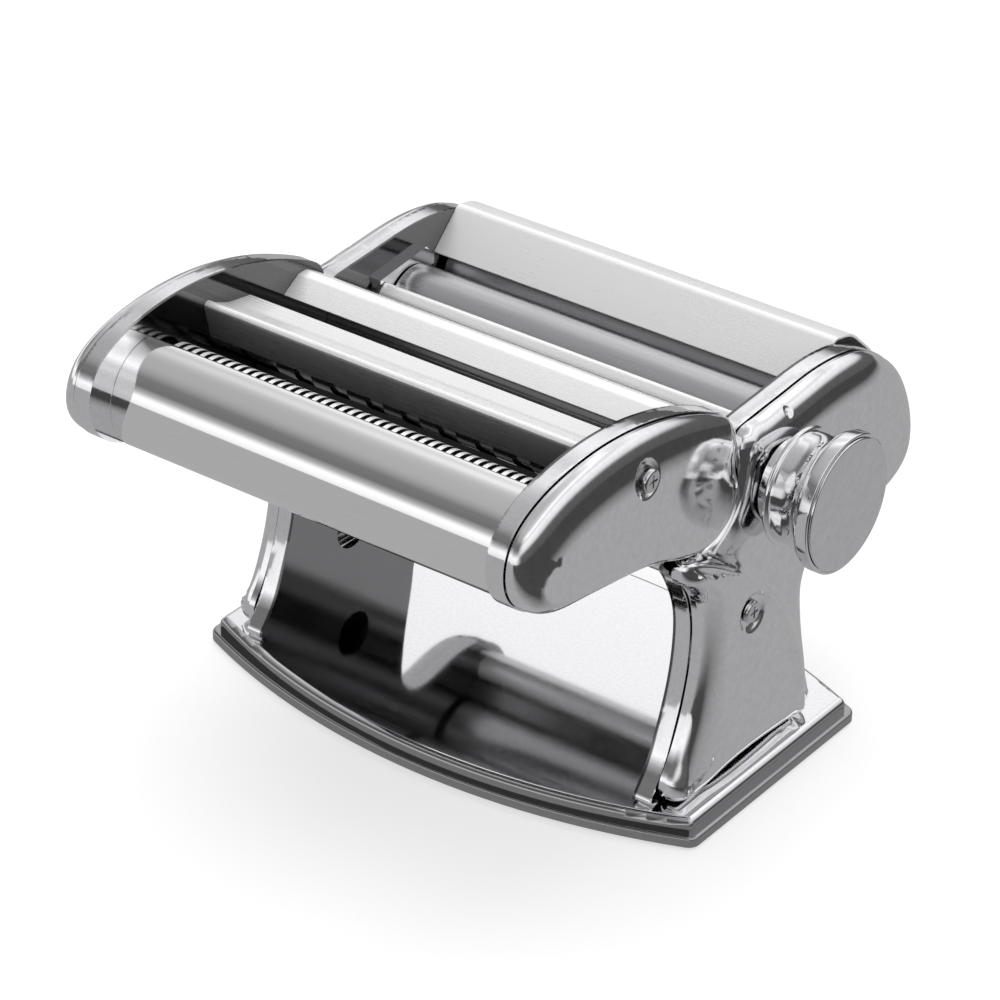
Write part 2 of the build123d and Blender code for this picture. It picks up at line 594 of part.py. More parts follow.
def build():
    """Every node of the machine, by name."""
    nodes = {
        "base_plate": base_plate(),
        "rubber_feet": rubber_feet(),
        "clamp_socket": clamp_socket(),
        "frame_screws": frame_screws(),
        "tie_rods": tie_rods(TIE_RODS, TIE_ROD_R),
        "tie_rod_screws": tie_screws(TIE_RODS),
        "hopper_plate": hopper_plate(),
        "front_guard": front_guard(),
        "front_scraper": scraper(FRONT_ROLLER, -1),
        "rear_scraper": scraper(REAR_ROLLER, 1),
        "front_smooth_roller": smooth_roller(FRONT_ROLLER, driven=False),
        "rear_smooth_roller": smooth_roller(REAR_ROLLER, driven=True),
        "front_roller_gear": roller_gear(FRONT_ROLLER, 0),
        "rear_roller_gear": roller_gear(REAR_ROLLER, 180 - 180 / GEAR_TEETH),
        "rear_roller_bushes": roller_bushes(),
        "cam_shaft": cam_shaft(),
        "index_plate": index_plate(),
        "knob_body": knob_body(),
        "knob_cap": knob_cap(),
        "knob_spring": knob_spring(),
        "knob_screw": knob_screw(),
        "detent_pin": detent_pin(),
        "leg_screws": both_sides(cover_screw, LEG_SCREW),
        "leg_pillars": both_sides(pillar, LEG_SCREW),
        "cutter_cover_screws": both_sides(cover_screw, CUTTER_SCREW),
        "cutter_pillars": both_sides(pillar, CUTTER_SCREW),
        "nose_cover": nose_cover(),
        "middle_sheet": strip(MIDDLE_SHEET, 0.8, -SHEET_END, SHEET_END, radius=0.9),
        "rear_sheet": strip(REAR_SHEET, -0.8, -SHEET_END, SHEET_END, radius=1.6),
        "narrow_front_roller": cutting_roller(NARROW_FRONT, NARROW_PITCH, 0, -CRANK_END),
        "narrow_rear_roller": cutting_roller(NARROW_REAR, NARROW_PITCH, NARROW_PITCH / 2, -GEARS[1]),
        "wide_front_roller": cutting_roller(WIDE_FRONT, WIDE_PITCH, 0, -CRANK_END),
        "wide_rear_roller": cutting_roller(WIDE_REAR, WIDE_PITCH, WIDE_PITCH / 2, -GEARS[1]),
        "narrow_combs": Compound(children=[comb(NARROW_FRONT, NARROW_PITCH, 0),
                                           comb(NARROW_REAR, NARROW_PITCH, NARROW_PITCH / 2)]),
        "wide_combs": Compound(children=[comb(WIDE_FRONT, WIDE_PITCH, 0),
                                         comb(WIDE_REAR, WIDE_PITCH, WIDE_PITCH / 2)]),
        "cutter_bushes": cutter_bushes(),
        "cutter_tie_rods": tie_rods(CUTTER_TIE_RODS, 3.0),
        "cutter_tie_screws": tie_screws(CUTTER_TIE_RODS),
    }
    for pair, front, rear in (("narrow", NARROW_FRONT, NARROW_REAR), ("wide", WIDE_FRONT, WIDE_REAR)):
        nodes[f"{pair}_front_gear"] = cutter_gear(front, CUTTER_TILT)
        nodes[f"{pair}_rear_gear"] = cutter_gear(rear, 180 + CUTTER_TILT - 180 / CUTTER_GEAR_TEETH)
    for name, side in SIDES.items():
        nodes[f"side_frame_{name}"] = side_frame(side)
        nodes[f"side_cover_{name}"] = side_cover(side)
        nodes[f"cutter_frame_{name}"] = cutter_frame(side)
        nodes[f"cutter_cover_{name}"] = cutter_cover(side)
        nodes[f"hopper_ear_{name}"] = hopper_ear(side)
        nodes[f"bearing_yoke_{name}"] = bearing_yoke(side)
    return nodes


if __name__ == "__main__":
    os.makedirs("parts", exist_ok=True)
    for node, shape in build().items():
        save(node, shape)
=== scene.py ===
import json
import math

import bmesh
import bpy
import numpy as np
from mathutils import Matrix, Vector
from mathutils.geometry import delaunay_2d_cdt
from mathutils.kdtree import KDTree

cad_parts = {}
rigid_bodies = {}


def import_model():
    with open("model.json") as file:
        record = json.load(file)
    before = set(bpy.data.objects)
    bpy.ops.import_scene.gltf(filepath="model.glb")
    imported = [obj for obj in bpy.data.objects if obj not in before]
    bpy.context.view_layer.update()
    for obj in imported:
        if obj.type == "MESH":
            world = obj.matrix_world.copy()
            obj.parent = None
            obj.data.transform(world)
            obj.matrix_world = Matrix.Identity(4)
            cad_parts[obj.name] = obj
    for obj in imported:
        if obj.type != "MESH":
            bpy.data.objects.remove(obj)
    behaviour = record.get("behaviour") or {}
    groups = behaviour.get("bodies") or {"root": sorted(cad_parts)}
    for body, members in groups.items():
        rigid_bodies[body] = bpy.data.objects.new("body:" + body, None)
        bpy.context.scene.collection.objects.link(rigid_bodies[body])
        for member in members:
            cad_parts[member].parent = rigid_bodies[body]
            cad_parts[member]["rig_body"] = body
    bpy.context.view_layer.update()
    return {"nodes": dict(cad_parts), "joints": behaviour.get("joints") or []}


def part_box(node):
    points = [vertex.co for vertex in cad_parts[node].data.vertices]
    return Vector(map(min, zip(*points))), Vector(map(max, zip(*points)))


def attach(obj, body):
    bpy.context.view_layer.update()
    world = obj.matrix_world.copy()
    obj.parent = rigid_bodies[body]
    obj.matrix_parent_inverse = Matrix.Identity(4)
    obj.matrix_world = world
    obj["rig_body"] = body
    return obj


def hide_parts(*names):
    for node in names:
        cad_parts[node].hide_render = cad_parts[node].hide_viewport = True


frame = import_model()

MM = 0.001

# ---- places taken from the CAD nodes ------------------------------------------------------------
WEB_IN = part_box("nose_cover")[1].x
COVER_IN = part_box("cutter_cover_right")[0].x
COVER_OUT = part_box("cutter_cover_right")[1].x
JOINTS = {joint["name"]: joint for joint in frame["joints"]}


def axis_of(joint):
    """(y, z) of a hinge's axis, in metres."""
    return tuple(JOINTS[joint]["pos_m"][1:])


REAR_ROLLER = axis_of("rear_roller_spin")
KNOB = axis_of("knob_turn")
NARROW_FRONT = axis_of("narrow_front_spin")
WIDE_FRONT = axis_of("wide_front_spin")


# ---- materials ----------------------------------------------------------------------------------
def node_material(name):
    material = bpy.data.materials.new(name)
    material.use_nodes = True
    nodes, links = material.node_tree.nodes, material.node_tree.links
    return material, nodes, links, nodes["Principled BSDF"]


def noise(nodes, links, scale, stretch=(1, 1, 1), detail=4.0, rough=0.6):
    """Noise in object space; a small stretch value draws it out along that axis."""
    place = nodes.new("ShaderNodeTexCoord")
    mapping = nodes.new("ShaderNodeMapping")
    mapping.inputs["Scale"].default_value = stretch
    texture = nodes.new("ShaderNodeTexNoise")
    texture.inputs["Scale"].default_value = scale
    texture.inputs["Detail"].default_value = detail
    texture.inputs["Roughness"].default_value = rough
    links.new(place.outputs["Object"], mapping.inputs["Vector"])
    links.new(mapping.outputs["Vector"], texture.inputs["Vector"])
    return texture.outputs["Fac"]


def spread(nodes, links, value, low, high, start=0.35, end=0.65):
    """Map the middle of a noise onto a range."""
    ranged = nodes.new("ShaderNodeMapRange")
    for socket, number in zip(("From Min", "From Max", "To Min", "To Max"), (start, end, low, high)):
        ranged.inputs[socket].default_value = number
    links.new(value, ranged.inputs["Value"])
    return ranged.outputs["Result"]


def tint(nodes, links, value, dark, light):
    ramp = nodes.new("ShaderNodeValToRGB")
    ramp.color_ramp.elements[0].position, ramp.color_ramp.elements[1].position = 0.35, 0.65
    ramp.color_ramp.elements[0].color = (*dark, 1)
    ramp.color_ramp.elements[1].color = (*light, 1)
    links.new(value, ramp.inputs["Fac"])
    return ramp.outputs["Color"]


def metal(name, colour, rough, stretch=(1, 1, 1), grain=900.0, bump=0.02, height=0.00002, vary=0.06,
          patches=35.0, metallic=1.0):
    """Metal with smudged gloss at large scale and a fine grain, drawn out where it was brushed."""
    material, nodes, links, shader = node_material(name)
    shader.inputs["Metallic"].default_value = metallic
    smudge = noise(nodes, links, patches, detail=3.0)
    fine = noise(nodes, links, grain, stretch, detail=5.0, rough=0.7)
    dark = tuple(c * (1 - vary) for c in colour)
    light = tuple(min(1.0, c * (1 + vary * 0.5)) for c in colour)
    links.new(tint(nodes, links, fine, dark, light), shader.inputs["Base Color"])
    add = nodes.new("ShaderNodeMath")
    add.operation = "ADD"
    links.new(spread(nodes, links, smudge, rough[0], rough[1]), add.inputs[0])
    links.new(spread(nodes, links, fine, 0.0, (rough[1] - rough[0]) * 0.7 + 0.01), add.inputs[1])
    links.new(add.outputs["Value"], shader.inputs["Roughness"])
    surface = nodes.new("ShaderNodeBump")
    surface.inputs["Strength"].default_value = bump
    surface.inputs["Distance"].default_value = height
    links.new(fine, surface.inputs["Height"])
    links.new(surface.outputs["Normal"], shader.inputs["Normal"])
    return material


def share_of(nodes, links, output, axis, start, end):
    """0 to 1 as an object-space place or direction passes from start to end along one axis."""
    place = nodes.new("ShaderNodeTexCoord")
    split = nodes.new("ShaderNodeSeparateXYZ")
    links.new(place.outputs[output], split.inputs["Vector"])
    size = nodes.new("ShaderNodeMath")
    size.operation = "ABSOLUTE"
    links.new(split.outputs[axis], size.inputs[0])
    return spread(nodes, links, size.outputs["Value"], 0, 1, start, end)


def radius_from(nodes, links, centre):
    """Object-space distance from an X axis through the (y, z) centre."""
    place = nodes.new("ShaderNodeTexCoord")
    shift = nodes.new("ShaderNodeVectorMath")
    shift.operation = "MULTIPLY_ADD"
    shift.inputs[1].default_value = (0, 1, 1)
    shift.inputs[2].default_value = (0, -centre[0], -centre[1])
    size = nodes.new("ShaderNodeVectorMath")
    size.operation = "LENGTH"
    links.new(place.outputs["Object"], shift.inputs[0])
    links.new(shift.outputs["Vector"], size.inputs[0])
    return size.outputs["Value"]


def paint_shade(material, painted_shade_factor, shares):
    """Painted shade: multiply the material's colour by the given factor where every share is 0, keeping its
    grain.
    """
    nodes, links = material.node_tree.nodes, material.node_tree.links
    shader = nodes["Principled BSDF"]
    colour = shader.inputs["Base Color"].links[0].from_socket
    blend = nodes.new("ShaderNodeMix")
    blend.data_type, blend.blend_type = "RGBA", "MULTIPLY"
    blend.inputs["B"].default_value = (painted_shade_factor, painted_shade_factor, painted_shade_factor, 1)
    factor = None
    for share in shares(nodes, links):
        invert = nodes.new("ShaderNodeMath")
        invert.operation = "SUBTRACT"
        invert.inputs[0].default_value = 1
        links.new(share, invert.inputs[1])
        if factor is None:
            factor = invert.outputs["Value"]
        else:
            both = nodes.new("ShaderNodeMath")
            both.operation = "MULTIPLY"
            links.new(factor, both.inputs[0])
            links.new(invert.outputs["Value"], both.inputs[1])
            factor = both.outputs["Value"]
    links.new(factor, blend.inputs["Factor"])
    links.new(colour, blend.inputs["A"])
    links.new(blend.outputs["Result"], shader.inputs["Base Color"])
    return material


def plastic(name, dark, light, rough, grain=600.0, bump=0.15):
    material, nodes, links, shader = node_material(name)
    fine = noise(nodes, links, grain, detail=5.0)
    patch = noise(nodes, links, 60.0)
    links.new(tint(nodes, links, patch, dark, light), shader.inputs["Base Color"])
    links.new(spread(nodes, links, patch, rough[0], rough[1]), shader.inputs["Roughness"])
    surface = nodes.new("ShaderNodeBump")
    surface.inputs["Strength"].default_value = bump
    surface.inputs["Distance"].default_value = 0.0001
    links.new(fine, surface.inputs["Height"])
    links.new(surface.outputs["Normal"], shader.inputs["Normal"])
    return material


ALONG_X = (0.02, 1, 1)
BASE_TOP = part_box("base_plate")[1].z
CROWN_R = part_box("narrow_front_roller")[1].z - NARROW_FRONT[1]
PALE_CHROME = (0.86, 0.86, 0.87)
POLISHED = (0.045, 0.075)
PALE_SHEET = (0.97, 0.97, 0.975)
SATIN = (0.25, 0.28)
CHROME = metal("chrome", PALE_CHROME, POLISHED)
KNOB_CHROME = metal("knob_face", (0.80, 0.80, 0.81), (0.10, 0.13), grain=400.0, bump=0.006)
COVER_CHROME = metal("cover_chrome", PALE_CHROME, (0.06, 0.09), grain=400.0, bump=0.006)
SHEET_STEEL = metal("satin_sheet", PALE_SHEET, SATIN, ALONG_X, 1500.0, 0.0, vary=0.01, metallic=0.45)
MIDDLE_STEEL = metal("folded_sheet", PALE_SHEET, SATIN, ALONG_X, 1500.0, 0.0, vary=0.01, metallic=0.45)
# painted shade: the folded sheet's steep faces, whose normals point little upward, are darkened to 0.30
paint_shade(MIDDLE_STEEL, 0.30, lambda n, l: [share_of(n, l, "Normal", "Z", 0.25, 0.5)])
FRAME_CHROME = metal("frame_chrome", PALE_CHROME, POLISHED)
WEB_PAINTED_SHADE = 0.16        # painted shade: how dark a frame's web is painted against its bright strip
WEB_FACE = (WEB_IN + 0.8 * MM, WEB_IN + 1.2 * MM)
# NOSE_END: where the painted shade on the cutter frames' web stops, near the nose
NOSE_END = (96 * MM, 104 * MM)
# painted shade on the side frames: the chrome web is darkened, the bright strip is not
paint_shade(FRAME_CHROME, WEB_PAINTED_SHADE, lambda n, l: [share_of(n, l, "Object", "X", *WEB_FACE)])
CUTTER_FRAME_CHROME = metal("cutter_frame_chrome", PALE_CHROME, POLISHED)
# painted shade on the cutter frames' web, except near the nose end
paint_shade(CUTTER_FRAME_CHROME, WEB_PAINTED_SHADE,
       lambda n, l: [share_of(n, l, "Object", "X", *WEB_FACE), share_of(n, l, "Object", "Y", *NOSE_END)])
NOSE_STEEL = metal("nose_sheet", (0.93, 0.93, 0.93), (0.05, 0.07), ALONG_X, 1500.0, 0.004, vary=0.02)
BASE_CHROME = metal("base_chrome", (0.88, 0.88, 0.89), (0.03, 0.05), bump=0.005)
# painted shade: the base's rim and sides below its top are darkened to 0.42
paint_shade(BASE_CHROME, 0.42,
       lambda n, l: [share_of(n, l, "Object", "Z", BASE_TOP - 0.9 * MM, BASE_TOP - 0.3 * MM)])
ROLLER_STEEL = metal("ground_roller", (0.60, 0.60, 0.61), (0.20, 0.28), ALONG_X, 2200.0, 0.10)
CUTTER_STEEL = metal("cutting_roller", (0.96, 0.96, 0.96), (0.25, 0.30), (1, 1, 1), 1500.0, 0.02, vary=0.02,
                     metallic=0.5)
# painted shade: all but the outermost 0.05 mm of the discs is near-black, so only the crowns catch light as
# glints
paint_shade(CUTTER_STEEL, 0.03,
       lambda n, l: [spread(n, l, radius_from(n, l, NARROW_FRONT), 0, 1,
                            CROWN_R - 0.1 * MM, CROWN_R - 0.05 * MM)])
# painted shade: rollers deep in the cutter are near-black steel standing in for the shade there
SHADED_STEEL = metal("roller_painted_shade", (0.07, 0.07, 0.07), (0.18, 0.24), (1, 1, 1), 1500.0, 0.06)
BRUSHED = metal("brushed_steel", (0.30, 0.30, 0.305), (0.22, 0.32), (1, 0.05, 1), 1200.0, 0.08)
# painted shade: the combs are near-black, standing in for the shade inside the cutter
COMB_PAINTED_SHADE = metal("comb_painted_shade", (0.03, 0.03, 0.03), (0.3, 0.4), (1, 1, 1), 900.0, 0.1)
SCREW_STEEL = metal("screw_steel", (0.70, 0.70, 0.71), (0.12, 0.18))
NYLON = plastic("nylon_bush", (0.62, 0.61, 0.58), (0.70, 0.69, 0.66), (0.4, 0.5))
RUBBER = plastic("foot_rubber", (0.012, 0.012, 0.012), (0.03, 0.03, 0.03), (0.6, 0.8))
INK = plastic("engraved_paint", (0.015, 0.015, 0.015), (0.03, 0.03, 0.03), (0.4, 0.5))

FINISH = {
    CHROME: "knob_body knob_cap index_plate hopper_ear_left hopper_ear_right",
    FRAME_CHROME: "side_frame_left side_frame_right",
    CUTTER_FRAME_CHROME: "cutter_frame_left cutter_frame_right",
    COVER_CHROME: "side_cover_left side_cover_right cutter_cover_left cutter_cover_right",
    SHEET_STEEL: "hopper_plate rear_sheet front_guard tie_rods cutter_tie_rods",
    MIDDLE_STEEL: "middle_sheet",
    NOSE_STEEL: "nose_cover",
    BASE_CHROME: "base_plate",
    ROLLER_STEEL: "front_smooth_roller rear_smooth_roller",
    CUTTER_STEEL: "narrow_front_roller",
    SHADED_STEEL: "narrow_rear_roller wide_front_roller wide_rear_roller",
    BRUSHED: "front_scraper rear_scraper cam_shaft leg_pillars cutter_pillars clamp_socket knob_spring "
             "detent_pin bearing_yoke_left bearing_yoke_right front_roller_gear rear_roller_gear "
             "narrow_front_gear narrow_rear_gear wide_front_gear wide_rear_gear",
    COMB_PAINTED_SHADE: "narrow_combs wide_combs",
    SCREW_STEEL: "leg_screws cutter_cover_screws knob_screw tie_rod_screws cutter_tie_screws frame_screws",
    NYLON: "rear_roller_bushes cutter_bushes",
    RUBBER: "rubber_feet",
}
MATERIAL_OF = {node: material for material, names in FINISH.items() for node in names.split()}
for node, thing in frame["nodes"].items():
    thing.data.materials.clear()
    thing.data.materials.append(MATERIAL_OF[node])


# ---- mesh helpers -------------------------------------------------------------------------------
def add_mesh(name, points, faces, material, smooth=True):
    mesh = bpy.data.meshes.new(name)
    mesh.from_pydata([tuple(p) for p in points], [], faces)
    mesh.validate()
    if smooth:
        mesh.shade_smooth()
    mesh.materials.append(material)
    thing = bpy.data.objects.new(name, mesh)
    bpy.context.scene.collection.objects.link(thing)
    return thing


def stands_for(thing, node, bevel=0.0, segments=3, angle=30):
    """Ride on the node's body in place of the node, with its edges eased."""
    if bevel:
        ease = thing.modifiers.new("ease", "BEVEL")
        ease.width, ease.segments = bevel, segments
        ease.limit_method, ease.angle_limit = "ANGLE", math.radians(angle)
        ease.harden_normals = False
    body = frame["nodes"][node]["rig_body"]
    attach(thing, body)
    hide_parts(node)
    return thing


def arc_corner(a, b, c, radius, steps):
    """Points that round the corner b of the path a, b, c."""
    b = np.array(b)
    u, v = np.array(a) - b, np.array(c) - b
    reach_u, reach_v = np.linalg.norm(u), np.linalg.norm(v)
    u, v = u / reach_u, v / reach_v
    half = math.acos(max(-1, min(1, float(u @ v)))) / 2
    run = min(radius / math.tan(half), 0.49 * reach_u, 0.49 * reach_v)
    radius = run * math.tan(half)
    centre = b + (u + v) / np.linalg.norm(u + v) * radius / math.sin(half)
    start, end = b + u * run - centre, b + v * run - centre
    turn = math.atan2(start[0] * end[1] - start[1] * end[0], float(start @ end))
    out = []
    for i in range(steps + 1):
        t = turn * i / steps
        out.append((centre[0] + start[0] * math.cos(t) - start[1] * math.sin(t),
                    centre[1] + start[0] * math.sin(t) + start[1] * math.cos(t)))
    return out


def rounded_path(points, radii, steps=8):
    path = [points[0]]
    for i in range(1, len(points) - 1):
        path += arc_corner(points[i - 1], points[i], points[i + 1], radii[i - 1], steps)
    return path + [points[-1]]


def bent_sheet(name, path, thickness, half_width, material, node, bevel=0.2):
    """A sheet along X whose section follows a (y, z) path in mm, thickened to its right."""
    path = np.array(path)
    ahead = np.vstack([path[1:] - path[:-1], path[-1:] - path[-2:-1]])
    ahead /= np.linalg.norm(ahead, axis=1)[:, None]
    back = np.vstack([ahead[:1], ahead[:-1]])
    middle = ahead + back
    middle /= np.linalg.norm(middle, axis=1)[:, None]
    stretch = 1 / np.clip((middle * ahead).sum(1), 0.5, 1)
    painted_shade_factor = path + np.stack([middle[:, 1], -middle[:, 0]], 1) * (thickness * stretch)[:, None]
    ring = np.vstack([path, painted_shade_factor[::-1]]) * MM
    n = len(ring)
    points = [(side * half_width, y, z) for side in (-1, 1) for y, z in ring]
    faces = [(i, (i + 1) % n, n + (i + 1) % n, n + i) for i in range(n)]
    half = len(path)
    for base, flip in ((0, False), (n, True)):
        for i in range(half - 1):
            quad = (base + i, base + i + 1, base + n - 2 - i, base + n - 1 - i)
            faces.append(quad[::-1] if flip else quad)
    thing = add_mesh(name, points, faces, material)
    mark_sharp(thing)
    return stands_for(thing, node, bevel * MM)


def mark_sharp(thing, angle=35):
    """Keep the shading break at folds sharper than the angle."""
    build = bmesh.new()
    build.from_mesh(thing.data)
    bmesh.ops.recalc_face_normals(build, faces=build.faces)
    for edge in build.edges:
        if len(edge.link_faces) == 2 and edge.calc_face_angle(0) > math.radians(angle):
            edge.smooth = False
    build.to_mesh(thing.data)
    build.free()


def lathe(name, profile, centre, material, node=None, segments=128, bevel=0.0):
    """Turn (x, radius) points in mm round an X axis through the (y, z) centre in metres."""
    points, faces = [], []
    for x, radius in profile:
        for k in range(segments):
            t = 2 * math.pi * k / segments
            points.append((x * MM, centre[0] + radius * MM * math.cos(t),
                           centre[1] + radius * MM * math.sin(t)))
    for i in range(len(profile) - 1):
        for k in range(segments):
            a, b = i * segments + k, i * segments + (k + 1) % segments
            faces.append((a, b, b + segments, a + segments))
    for row, flip in ((0, True), (len(profile) - 1, False)):
        if profile[row][1] > 0.01:
            ring = [row * segments + k for k in range(segments)]
            faces.append(ring[::-1] if flip else ring)
    thing = add_mesh(name, points, faces, material)
    mark_sharp(thing)
    return stands_for(thing, node, bevel * MM) if node else thing


# ---- pressed covers -----------------------------------------------------------------------------
def outer_loop(node):
    """The cover's outline where it meets its frame, as a closed (y, z) polyline in metres."""
    mesh = frame["nodes"][node].data
    xs = np.array([abs(v.co.x) for v in mesh.vertices])
    level = xs.min()
    key = [(round(v.co.y, 6), round(v.co.z, 6)) for v in mesh.vertices]
    count = {}
    for face in mesh.polygons:
        if all(xs[i] < level + 2e-5 for i in face.vertices):
            loop = [key[i] for i in face.vertices]
            for a, b in zip(loop, loop[1:] + loop[:1]):
                edge = (min(a, b), max(a, b))
                count[edge] = count.get(edge, 0) + 1
    ends = {}
    for (a, b), times in count.items():
        if times == 1 and a != b:
            ends.setdefault(a, []).append(b)
            ends.setdefault(b, []).append(a)
    best = []
    left = set(ends)
    while left:
        start = min(left)
        loop, here, before = [start], start, None
        left.discard(start)
        while True:
            ahead = [p for p in ends[here] if p != before and (p in left or p == start)]
            if not ahead or ahead[0] == start:
                break
            before, here = here, ahead[0]
            loop.append(here)
            left.discard(here)
        size = sum(math.dist(a, b) for a, b in zip(loop, loop[1:] + loop[:1]))
        if not best or size > best[0]:
            best = (size, loop)
    return np.array(best[1])


def periodic_smooth(loop, count):
    """Even points on a closed cubic spline through the loop, anticlockwise."""
    step = np.linalg.norm(np.roll(loop, -1, 0) - loop, axis=1)
    loop = loop[step > 2e-4]
    area = (loop[:, 0] * np.roll(loop[:, 1], -1) - np.roll(loop[:, 0], -1) * loop[:, 1]).sum()
    if area < 0:
        loop = loop[::-1]
    ahead = np.roll(loop, -1, 0) - loop
    step = np.linalg.norm(ahead, axis=1)
    before = np.roll(step, 1)
    n = len(loop)
    rows = np.arange(n)
    system = np.zeros((n, n))
    system[rows, rows] = 2 * (step + before)
    system[rows, (rows + 1) % n] = step
    system[rows, (rows - 1) % n] = before
    slope = ahead / step[:, None]
    bend = np.linalg.solve(system, 6 * (slope - np.roll(slope, 1, 0)))
    bend_next = np.roll(bend, -1, 0)
    start = np.concatenate([[0], np.cumsum(step)])
    at = np.arange(count) * start[-1] / count
    k = np.searchsorted(start, at, side="right") - 1
    t, h = (at - start[k])[:, None], step[k][:, None]
    return (loop[k] + t * (slope[k] - h * (2 * bend[k] + bend_next[k]) / 6)
            + t ** 2 * bend[k] / 2 + t ** 3 * (bend_next[k] - bend[k]) / (6 * h))


def smoothstep(t):
    t = np.clip(t, 0, 1)
    return t * t * (3 - 2 * t)


class Line:
    """A dense (y, z) line that gives the signed distance to its left and the nearest place on it."""

    def __init__(self, points, closed):
        self.points = points
        ahead = np.roll(points, -1, 0) - np.roll(points, 1, 0) if closed else np.gradient(points, axis=0)
        ahead /= np.linalg.norm(ahead, axis=1)[:, None]
        self.left = np.stack([-ahead[:, 1], ahead[:, 0]], 1)
        self.tree = KDTree(len(points))
        for i, (y, z) in enumerate(points):
            self.tree.insert((y, z, 0), i)
        self.tree.balance()

    def distance(self, spots):
        at = np.array([self.tree.find((y, z, 0))[1] for y, z in spots])
        return ((spots - self.points[at]) * self.left[at]).sum(1), at


def around_average(values, reach):
    """Running average round a closed line, twice over."""
    kernel = np.ones(reach) / reach
    for _ in range(2):
        padded = np.concatenate([values[-reach:], values, values[:reach]])
        values = np.convolve(padded, kernel, "same")[reach:-reach]
    return values


WALL = 0.12             # share of the cover's depth taken by its upright rim
COVER_SHEET = 0.8
ROUNDING = 2.0          # 2 gives a quarter ellipse
RIM_POINTS = 600
FINER = 10              # how many times finer the line is that distances are measured to
RINGS = (0.12, 0.3, 0.55, 0.85, 1.2, 1.6, 2.1, 2.7, 3.4, 4.2, 5.1, 6.1, 7.2, 8.4, 9.7, 11.0, 12.4)


